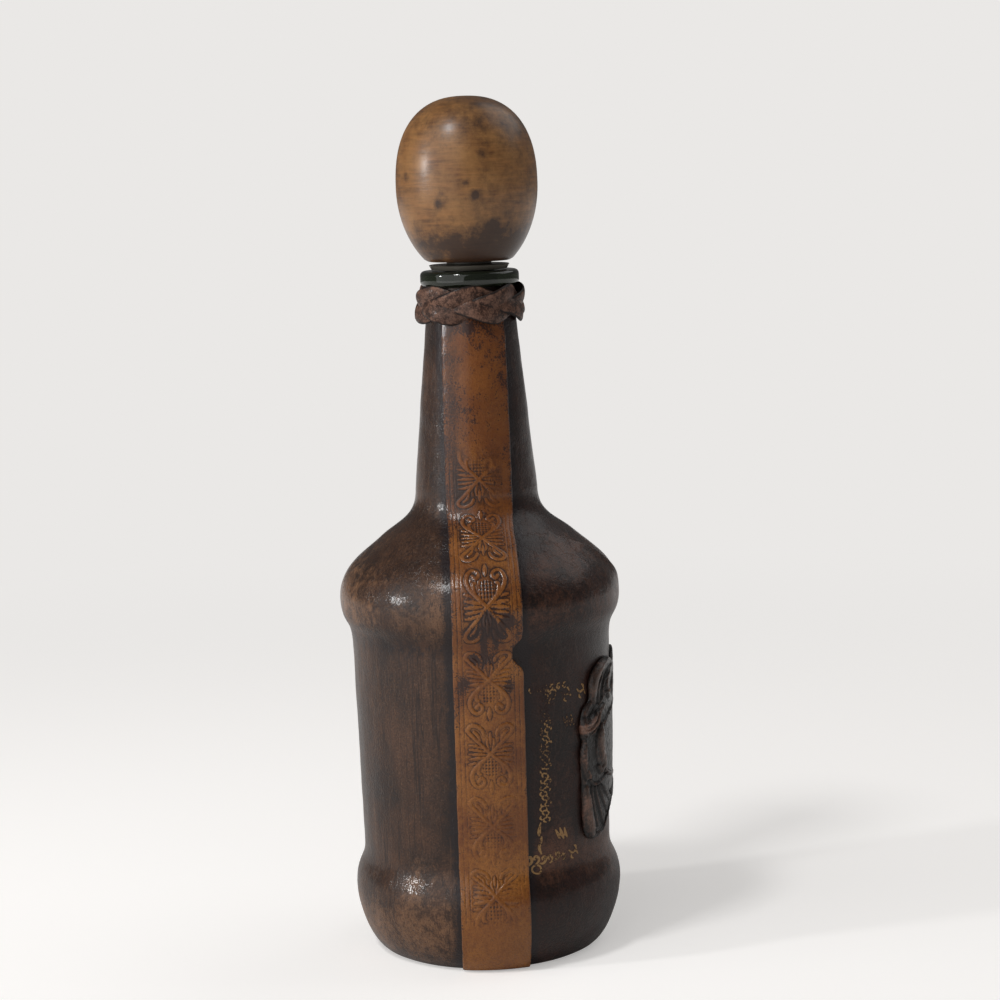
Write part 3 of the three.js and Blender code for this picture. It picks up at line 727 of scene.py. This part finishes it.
for stroke in mirrored(side_strokes):
    line = smooth_stroke(stroke, 4)
    middle, half_width = line[:, :2], line[:, 2:]
    forward = np.gradient(middle, axis=0)
    forward /= np.maximum(np.hypot(*forward.T), 1e-6)[:, None]
    sideways = np.stack([-forward[:, 1], forward[:, 0]], axis=1) * half_width
    first = len(foil_points)
    foil_points += [tuple(point) for pair in zip(middle + sideways, middle - sideways) for point in pair]
    for k in range(first, first + 2 * len(line) - 2, 2):
        foil_faces.append((k, k + 1, k + 3, k + 2))
flat = np.array(foil_points)
foil_run = run_at(flat[:, 1] * mm)
foil_azimuth = front + flat[:, 0] * mm / (np.interp(foil_run, wall_run, wall[:, 0]) + leather_offset)
foil_offset = leather_offset + leather_rise(foil_azimuth, foil_run) + gilt_lift
foil_places = over_wall(foil_azimuth, foil_run, foil_offset)
foil_mesh = bpy.data.meshes.new("gilt_border")
foil_mesh.from_pydata(foil_places.tolist(), [], foil_faces)
foil = bpy.data.objects.new("gilt_border", foil_mesh)
scene.collection.objects.link(foil)
thickened(foil, gilt_lift, 0)
gold, tree, surface = principled("worn_gold_leaf", {"Metallic": 0.35, "Roughness": 0.5})
place = add_node(tree, "TexCoord").outputs["Object"]
flakes = add_node(tree, "TexNoise", {"Scale": 1500, "Detail": 4}, {"Vector": place})
patches = add_node(tree, "TexNoise", {"Scale": 110, "Detail": 2}, {"Vector": place})
uneven = add_node(tree, "Math", links={0: flakes.outputs["Fac"], 1: patches.outputs["Fac"]}, operation="ADD")
upward = add_node(tree, "SeparateXYZ", links={0: place})
fade_out = {"From Min": 42 * mm, "From Max": 60 * mm, "To Min": 0.06, "To Max": -0.07}
faded = add_node(tree, "MapRange", fade_out, {"Value": upward.outputs["Z"]})
left_over = add_node(tree, "Math", links={0: uneven.outputs[0], 1: faded.outputs[0]}, operation="ADD")
kept = add_node(tree, "MapRange", {"From Min": 0.9, "From Max": 1.02, "To Max": 0.9},
                {"Value": left_over.outputs[0]})
gilded = add_node(tree, "Mix", {6: linear("2B1813"), 7: linear("A07C50")}, {0: kept.outputs[0]},
                  data_type="RGBA")
tree.links.new(gilded.outputs[2], surface.inputs["Base Color"])
dressed(foil, "gilt_border", "bottle", "front_leather", gold)


# Base: a disc of the same brown leather, glued under the foot ring; the decanter stands on it.
base_radius, base_thickness = 34 * mm, 1.6 * mm
base = spun("base_disc", [
    (0, 0), (base_radius - 0.5 * mm, 0), (base_radius, 0.4 * mm), (base_radius, base_thickness),
    (0, base_thickness)], 96)
base_count = len(base.data.vertices)
marked(base, "wear", np.full(base_count, 0.3))
marked(base, "stain_and_shade", np.zeros(base_count))
dressed(base, "base_disc", "bottle", "back_leather", back_leather, "base_leather")


# Collar: three flat thongs of brown leather, plaited round the neck under the lip and butted at the back. In
# each repeat a thong swings across the collar once and dips twice, over one neighbour and under the next.
thong_width, thong_thickness = 6.0 * mm, 1.4 * mm
plait_swing = 3.1 * mm
plait_depth = 0.95 * mm
plait_turns = 7 / 3
plait_middle = lip_bottom - collar_height / 2 + 0.7 * mm
thong_seat = 2.1 * mm
thong_roll = 0.3
thong_gap = 0.4 * mm


def neck_surface(height):
    """Radius of the dressed neck at a height."""
    share = (height - neck_root_height) / (lip_bottom - neck_root_height)
    return neck_root_radius + (neck_top_radius - neck_root_radius) * share + leather_offset


def thong_line(turn, phase):
    """The thong's middle line round the neck, from the back."""
    swing_phase = plait_turns * turn + phase
    height = plait_middle + plait_swing * (np.sin(swing_phase) - 0.08 * np.sin(3 * swing_phase))
    radius = neck_surface(height) + thong_seat + plait_depth * np.sin(2 * swing_phase)
    return np.stack([radius * np.cos(back + turn), radius * np.sin(back + turn), height], axis=1)


def plaited_thong(phase):
    """One thong: a closed round form stretched along its line and flattened to a strip."""
    step = 0.002

    def shape(places, marks):
        along = np.arccos(np.clip(places[:, 2], -1, 1)) / np.pi
        ring = np.arctan2(places[:, 1], places[:, 0])
        clear = thong_gap / 2 / neck_surface(plait_middle)
        turn = clear + (2 * np.pi - 2 * clear) * along
        line = thong_line(turn, phase)
        forward = thong_line(turn + step, phase) - thong_line(turn - step, phase)
        forward /= np.linalg.norm(forward, axis=1)[:, None]
        outward = line * (1, 1, 0)
        outward /= np.linalg.norm(outward, axis=1)[:, None]
        across = np.cross(outward, forward)
        across /= np.linalg.norm(across, axis=1)[:, None]
        lift = np.cross(forward, across)
        roll = thong_roll * np.cos(plait_turns * turn + phase)
        wide = across * np.cos(roll)[:, None] + lift * np.sin(roll)[:, None]
        thick = np.cross(forward, wide)
        tip = np.where((along < 0.001) | (along > 0.999), 0.0, 1.0)
        side = np.sign(np.cos(ring)) * np.abs(np.cos(ring)) ** 0.8
        up = np.sign(np.sin(ring)) * np.abs(np.sin(ring)) ** 0.9 * thong_thickness / 2
        crease = waviness(np.stack([turn * 14 * mm, side * 3 * mm, up], axis=1), 1.3 * mm, phase)
        curl = -0.3 * mm * side**2
        marks["wear"] = 0.22 + 0.1 * crease + 0.12 * np.abs(side) ** 4
        marks["stain_and_shade"] = 0.1 + 0.15 * waviness(line, 9 * mm, 4.0)
        # Relief mark: low at the thong's very edges, which take the dark relief colour as painted shade in
        # the gaps between the thongs.
        marks["relief"] = 0.5 + 0.1 * crease - 0.6 * np.abs(side) ** 7
        offset = (up + curl + 0.07 * mm * crease) * tip
        return line + (side * thong_width / 2 * tip)[:, None] * wide + offset[:, None] * thick

    return formed(36, 420, shape)


# The dark relief colour is painted shade at the thongs' edges.
thong_leather = leather("brown_thong_leather", "1E120D", "452B20", "8A6654", streaks=0.1, roughness=0.55,
                        coat=0.1, creases=0.1, relief=("120A08", "765443"), fuzz=0.6)
for strand, letter in enumerate("abc"):
    thong = plaited_thong(strand * 2 * math.pi / 3)
    dressed(thong, f"plait_{letter}", "bottle", "plait_leather", thong_leather, f"plait_thong_{letter}",
            smooth_angle=60)


# Crest: a cartouche of thick leather, pressed in a mould, carved over and glued to the front. It has an oval
# frame with scrolls, a ribbed shell at each side and leaves above and below, rubbed light on the ridges. Its
# grooves are painted dark as shade and its ridges painted lighter as highlight.
crest_width, crest_height = 68.0, 59.6
crest_middle = 68.55 * mm
crest_plate = 0.8
crest_oval = (52.0, 26.0)
# The outline's right half, as shares of half the width and half the height.
crest_edge_shares = [
    (0, 1), (0.12, 0.9), (0.3, 0.9), (0.46, 0.98), (0.64, 0.97), (0.8, 0.88), (0.86, 0.76), (0.86, 0.62),
    (0.88, 0.56), (0.96, 0.48), (1, 0.33), (0.99, 0.2), (0.965, 0.12), (0.99, 0), (0.975, -0.25),
    (0.965, -0.48), (0.955, -0.7), (0.93, -0.88), (0.84, -0.98), (0.68, -0.98), (0.54, -0.86),
    (0.42, -0.74), (0.27, -0.65), (0.12, -0.66), (0, -0.76),
]
# Carving in millimetres from the crest's middle, for its right side: across, up and half width.
broad_carving = [
    [(33.2, 8.5, 3.2), (29.5, 8.6, 2.9), (26.2, 10.8, 1.9), (24.2, 13.6, 0.8)],
    [(32.6, 4.0, 1.3), (32.4, -2.5, 1.5), (31.0, -8.0, 1.2)],
    [(31.6, -11.5, 1.2), (31.2, -17, 2.4), (30.0, -23, 2.9), (28.5, -27, 1.8)],
    [(27.8, 16.5, 1.2), (28.0, 20.5, 2.1), (26.0, 25.0, 2.2), (21.5, 28.0, 1.7), (17.5, 27.5, 0.9)],
    [(22.3, 8.2, 0.9), (23.2, 3.5, 2.6), (22.3, -1.8, 2.5), (20.6, -5.4, 1.7), (22.6, -7.4, 1.3),
     (24.4, -5.6, 0.8)],
    [(25.8, 11.2, 0.6), (22.8, 13.2, 1.5), (19.8, 13.8, 0.6)],
    [(16, 15.5, 0.8), (18.5, 20, 1.5), (16, 24, 1.3), (11, 25.5, 0.7)],
    [(8, 14.5, 0.6), (11, 18, 1.3), (8, 22, 0.8)], [(5, -14.5, 0.6), (9, -17.5, 1.1), (13, -17, 0.6)],
]
fine_carving = [
    [(34.0, 5.6, 0.4), (30.5, 5.5, 0.5), (27.0, 7.4, 0.5), (24.0, 11.2, 0.4)],
    [(34.0, 7.6, 0.4), (30.5, 7.4, 0.5), (27.2, 9.3, 0.5), (24.6, 12.6, 0.4)],
    [(34.0, 9.6, 0.4), (30.5, 9.5, 0.5), (27.6, 11.2, 0.5), (25.2, 14.0, 0.4)],
    [(33.0, 11.6, 0.4), (30.0, 11.7, 0.5), (27.6, 13.4, 0.4)],
    [(15, 18.8, 0.5), (19.5, 17.6, 0.7), (23.5, 15.3, 0.7), (27.5, 13.6, 0.5)],
    [(31.2, -5.8, 0.5), (29.4, -9.3, 0.65), (26, -11.3, 0.65), (22, -11.0, 0.6), (18.2, -9.6, 0.5)],
    [(28.6, -11.6, 0.5), (27.6, -17.5, 0.9), (24.6, -25.8, 0.5)],
    [(26.6, -12.2, 0.5), (24.8, -17.0, 0.9), (21.0, -25.6, 0.5)],
    [(24.4, -12.6, 0.5), (21.6, -16.6, 0.8), (17.6, -22.6, 0.4)],
    [(22.0, -12.6, 0.4), (18.5, -15.8, 0.7), (14.6, -19.4, 0.4)],
    [(24.6, 15.6, 0.4), (24.4, 20.5, 0.8), (21.4, 25.2, 0.5)],
    [(21.6, 16.2, 0.4), (21.0, 20.4, 0.8), (18.0, 24.4, 0.5)],
]
middle_carving = [
    [(0, 15.5, 0.8), (0, 20, 2.0), (0, 28.5, 0.6)], [(0, -14.5, 0.8), (0, -17.5, 1.6), (0, -21, 0.5)],
    [(-5, 14.5, 0.5), (-3, 20, 1.2), (-4, 25, 0.5)], [(5, 14.5, 0.5), (3, 20, 1.2), (4, 25, 0.5)],
]


def pressed_crest():
    """The crest's closed body: rings from the middle of its face, over its edge, to its back's middle."""
    half = [(x * crest_width / 2, y * crest_height / 2, 0) for x, y in crest_edge_shares]
    loop = half + [(-x, y, 0) for x, y, _ in half[-2:0:-1]]
    fine = smooth_stroke([loop[-1], *loop, loop[0], loop[1]], 16)[16:-17, :2]
    spacing = np.concatenate([[0], np.cumsum(np.hypot(*np.diff(fine, axis=0).T))])
    face_share, edge_share = 0.84, 0.88

    def shape(places, marks):
        ring = np.arccos(np.clip(places[:, 2], -1, 1)) / np.pi
        turn = (-np.arctan2(places[:, 1], places[:, 0]) / (2 * np.pi)) % 1
        edge = np.stack([np.interp(turn * spacing[-1], spacing, fine[:, k]) for k in (0, 1)], axis=1)
        on_face = ring < face_share
        out = np.where(on_face, ring / face_share, np.clip((1 - ring) / (1 - edge_share), 0, 1))
        x, y = (edge * out[:, None]).T
        flat = np.stack([x, y, 0 * x], axis=1)
        oval = np.hypot(x / (crest_oval[0] / 2), y / (crest_oval[1] / 2))
        broad, broad_gap = struck(x, y, mirrored(broad_carving) + middle_carving, 1.7, 2.2)
        fine_lines, gap = struck(x, y, mirrored(fine_carving), 0.75, 0.7)
        rim = 0.7 * np.sqrt(np.clip(1 - ((out - 0.965) / 0.035) ** 2, 0, 1))
        frame_bead = 1.0 * np.sqrt(np.clip(1 - ((oval - 0.97) / 0.05) ** 2, 0, 1))
        shield = 0.5 * np.clip(1 - (np.hypot(x / 15, y / 9)) ** 2, 0, 1)
        beads = 0.16 * np.cos(np.pi * (x + y) / 0.9) * np.cos(np.pi * (x - y) / 0.9)
        beaded = (np.abs(x) > 29.5) & ((y < 4) | (y > 15)) & (broad > 0.5)
        field = np.maximum.reduce([broad, rim, frame_bead, shield])
        field = np.maximum(field * 0.9 + fine_lines, 0.12) + np.where(beaded, beads, 0)
        field += 0.2 * waviness(flat, 1.7, 4.0) + 0.14 * waviness(flat, 0.9, 6.0)
        groove = np.exp(-((broad_gap / 0.35) ** 2)) + np.exp(-((gap / 0.3) ** 2))
        field = np.clip(field - 0.22 * groove, 0.02, None)
        flatness = np.clip((np.abs(x) - 4) / 17, 0, 1)
        swell = 0.3 + 0.7 * flatness**2 * (3 - 2 * flatness)
        edge_fall = np.clip((1 - out) / 0.025, 0, 1) ** 0.5
        lift = crest_plate * (0.4 + 0.6 * edge_fall) + np.clip(swell * field, 0, None) * edge_fall
        down = np.clip((ring - face_share) / (edge_share - face_share), 0, 1)
        lift = np.where(on_face, lift, lift * (1 - down)) * mm
        # Relief mark: low in the grooves for painted shade, high on the ridges for painted highlight.
        marks["relief"] = np.where(on_face, 0.12 + 0.42 * field - 0.15 * groove, 0.3)
        red = np.clip((np.abs(x) - 26) / 4, 0, 1) * np.clip(1.1 - np.abs(y - 2) / 40, 0, 1) * (y < 13)
        ridge = np.clip((field - 1.15) / 0.35, 0, 1)
        marks["wear"] = 0.1 + 0.25 * waviness(flat, 1.5, 2.0) + (0.12 + 0.26 * red) * ridge
        marks["stain_and_shade"] = 0 * x
        z = crest_middle + y * mm
        share = (z - waist_low_height) / (waist_high_height - waist_low_height)
        surface = waist_low_radius + (waist_high_radius - waist_low_radius) * share
        surface += leather_offset + leather_gap
        azimuth = front + x * mm / surface
        return np.stack([(surface + lift) * np.cos(azimuth), (surface + lift) * np.sin(azimuth), z], axis=1)

    return formed(440, 210, shape)


# Relief colours: painted shade in the grooves, painted highlight on the ridges.
crest_leather = leather("moulded_crest_leather", "1A1210", "362922", "745041", streaks=0.1, roughness=0.36,
                        coat=0.4, creases=0.3, relief=("0B0706", "8C7263"))
dressed(pressed_crest(), "crest_relief", "bottle", "crest_leather", crest_leather, "front_crest",
        smooth_angle=60)


# Plug: moulded dark grey plastic, with a flange that rests on the lip, a hollow barrel with sealing ribs
# below it, and a stem above it that is fixed in the knob.
plug_seat = mouth + leather_gap
flange_radius, flange_taper, flange_thickness = 13.1 * mm, 0.7 * mm, 1.6 * mm
plug_neck_radius, plug_neck_height = 7.3 * mm, 1.1 * mm
barrel_radius, barrel_length, barrel_wall, barrel_floor = 8.1 * mm, 25 * mm, 1.9 * mm, 2.4 * mm
rib_radius, rib_height, rib_count = 9.0 * mm, 2.2 * mm, 4
stem_radius, stem_length = 5 * mm, 16 * mm
flange_top = plug_seat + flange_thickness
knob_bottom = flange_top + plug_neck_height
barrel_bottom = plug_seat - barrel_length
rib_pitch = (barrel_length - rib_height) / (rib_count + 0.5)
ribs = []
for k in range(rib_count):
    low = barrel_bottom + rib_height / 2 + k * rib_pitch
    ribs += [(barrel_radius, low), (rib_radius - 0.15 * mm, low + 0.7 * rib_height),
             (rib_radius, low + 0.78 * rib_height), (rib_radius - 0.2 * mm, low + 0.88 * rib_height),
             (barrel_radius, low + rib_height)]
plug = spun("plug_moulded", [
    (0, plug_seat - barrel_floor), (barrel_radius - barrel_wall, plug_seat - barrel_floor),
    (barrel_radius - barrel_wall, barrel_bottom), (barrel_radius - barrel_wall / 2, barrel_bottom),
    *ribs, (barrel_radius, plug_seat), (flange_radius - flange_taper - 0.2 * mm, plug_seat),
    (flange_radius - flange_taper, plug_seat + 0.2 * mm), (flange_radius - 0.1 * mm, flange_top - 0.35 * mm),
    (flange_radius, flange_top - 0.2 * mm), (flange_radius - 0.15 * mm, flange_top - 0.05 * mm),
    (flange_radius - 0.4 * mm, flange_top), (plug_neck_radius + 0.4 * mm, flange_top),
    (plug_neck_radius, flange_top + 0.3 * mm), (plug_neck_radius, knob_bottom - leather_gap),
    (stem_radius, knob_bottom - leather_gap), (stem_radius, knob_bottom + stem_length),
    (0, knob_bottom + stem_length)], 96)
black_plastic = principled("black_moulded_plastic", {"Base Color": linear("58544C"), "Roughness": 0.35})[0]
dressed(plug, "plug_moulded", "stopper", "plug_plastic", black_plastic, "stopper_plug")


# Knob: a turned egg of pale hardwood, sanded, varnished and bored below for the plug's stem. It is darker
# towards the bottom and has a few small dark spots, and its side away from the window is painted darker as
# shade.
knob_radius, knob_base_radius = 23 * mm, 13.8 * mm
knob_below, knob_above, knob_power = 24.4 * mm, 28.6 * mm, 2.4
knob_edge = 0.7 * mm
knob_middle = knob_bottom + knob_below
bore_top = knob_bottom + stem_length + leather_gap
bore_side = stem_radius + leather_gap
lower_axis = knob_below / math.sqrt(1 - (knob_base_radius / knob_radius) ** 2)
knob_profile = [
    (0, bore_top), (bore_side, bore_top), (bore_side, knob_bottom),
    (knob_base_radius - knob_edge * 1.2, knob_bottom),
    (knob_base_radius - knob_edge * 0.5, knob_bottom + 0.12 * mm)]
for below in np.linspace(knob_below - knob_edge, 0, 40):
    knob_profile.append((knob_radius * math.sqrt(1 - (below / lower_axis) ** 2), knob_middle - below))
for angle in np.linspace(0, math.pi / 2, 50)[1:]:
    share = math.sin(angle)
    radius = knob_radius * max(1 - share**knob_power, 0) ** (1 / knob_power)
    knob_profile.append((radius if angle < 1.57 else 0, knob_middle + knob_above * share))
knob = spun("knob_turned", knob_profile, 160)
knob_places = places_of(knob)
knob_turn = np.degrees(np.arctan2(knob_places[:, 1], knob_places[:, 0])) % 360
# Dark spots: azimuth in degrees, height and size in millimetres, and how dark.
spots = [(177, 252.8, 1.1, 0.45), (184, 248.8, 1.5, 0.55), (153, 246.3, 1.5, 0.5), (156, 249.5, 1.2, 0.36),
         (199, 238.5, 2.6, 0.55), (190, 262, 1.5, 0.4), (120, 255, 1.6, 0.4), (141, 255.5, 1.2, 0.3),
         (330, 250, 2.0, 0.5), (20, 243, 1.8, 0.5), (60, 262, 2.2, 0.4)]
knob_stain_and_shade = 0.08 * waviness(knob_places, 7 * mm, 3.0)
# Darker towards the bottom, at the top and below the middle.
bottom_darkening = 0.34 + 0.1 * np.cos(np.radians(knob_turn - 205))
knob_stain_and_shade += bottom_darkening * np.clip((241.5 * mm - knob_places[:, 2]) / (8 * mm), 0, 1)
knob_stain_and_shade += 0.18 * np.clip((knob_places[:, 2] - 262 * mm) / (9 * mm), 0, 1)
knob_stain_and_shade += 0.08 * np.clip((254 * mm - knob_places[:, 2]) / (8 * mm), 0, 1)
# Painted shade: the side away from the window is darker, the side towards it lighter.
knob_stain_and_shade += 0.12 * np.cos(np.radians(knob_turn - 240))
for spot_turn, spot_height, spot_size, much in spots:
    away = np.hypot(((knob_turn - spot_turn + 180) % 360 - 180) * 0.4, knob_places[:, 2] / mm - spot_height)
    knob_stain_and_shade += much * np.exp(-((away / spot_size) ** 2))
marked(knob, "stain_and_shade", knob_stain_and_shade)

wood, tree, surface = principled("varnished_turned_hardwood", {
    "Roughness": 0.45, "Specular IOR Level": 0.35, "Coat Weight": 0.4, "Coat Roughness": 0.27})
place = add_node(tree, "TexCoord").outputs["Object"]
lathe = add_node(tree, "Mapping", {"Scale": (0.1, 0.1, 1)}, {"Vector": place})
grain = add_node(tree, "TexNoise", {"Scale": 1100, "Detail": 4, "Roughness": 0.6},
                 {"Vector": lathe.outputs[0]})
cloud = add_node(tree, "TexNoise", {"Scale": 110, "Detail": 8, "Roughness": 0.7}, {"Vector": place})
blotch = add_node(tree, "TexNoise", {"Scale": 300, "Detail": 7, "Roughness": 0.74}, {"Vector": place})
stain_and_shade = add_node(tree, "Attribute", attribute_name="stain_and_shade")
grain_range = add_node(tree, "MapRange", {"From Min": 0.3, "From Max": 0.72}, {"Value": grain.outputs["Fac"]})
cloud_range = add_node(tree, "MapRange", {"From Min": 0.34, "From Max": 0.66, "To Max": 0.75},
                       {"Value": cloud.outputs["Fac"]})
spotty = add_node(tree, "Math", links={0: blotch.outputs["Fac"], 1: stain_and_shade.outputs["Fac"]}, operation="ADD")
spot_range = add_node(tree, "MapRange", {"From Min": 0.6, "From Max": 0.98, "To Max": 0.9},
                      {"Value": spotty.outputs[0]})
planed = add_node(tree, "Mix", {6: linear("482B12"), 7: linear("86592F")}, {0: grain_range.outputs[0]},
                  data_type="RGBA")
toned = add_node(tree, "Mix", {7: linear("956B3D")}, {0: cloud_range.outputs[0], 6: planed.outputs[2]},
                 data_type="RGBA")
aged = add_node(tree, "Mix", {7: linear("2C1A12")}, {0: spot_range.outputs[0], 6: toned.outputs[2]},
                data_type="RGBA")
tree.links.new(aged.outputs[2], surface.inputs["Base Color"])
wood_bump = add_node(tree, "Bump", {"Strength": 0.5, "Distance": 0.15 * mm}, {
    "Height": add_node(tree, "Math", links={0: grain.outputs["Fac"], 1: blotch.outputs["Fac"]},
                       operation="ADD").outputs[0]})
tree.links.new(wood_bump.outputs[0], surface.inputs["Normal"])
lathe_bump = add_node(tree, "Bump", {"Strength": 0.3, "Distance": 0.15 * mm},
                      {"Height": grain.outputs["Fac"]})
tree.links.new(lathe_bump.outputs[0], surface.inputs["Coat Normal"])
dressed(knob, "knob_turned", "stopper", "knob_wood", wood, "stopper_knob")
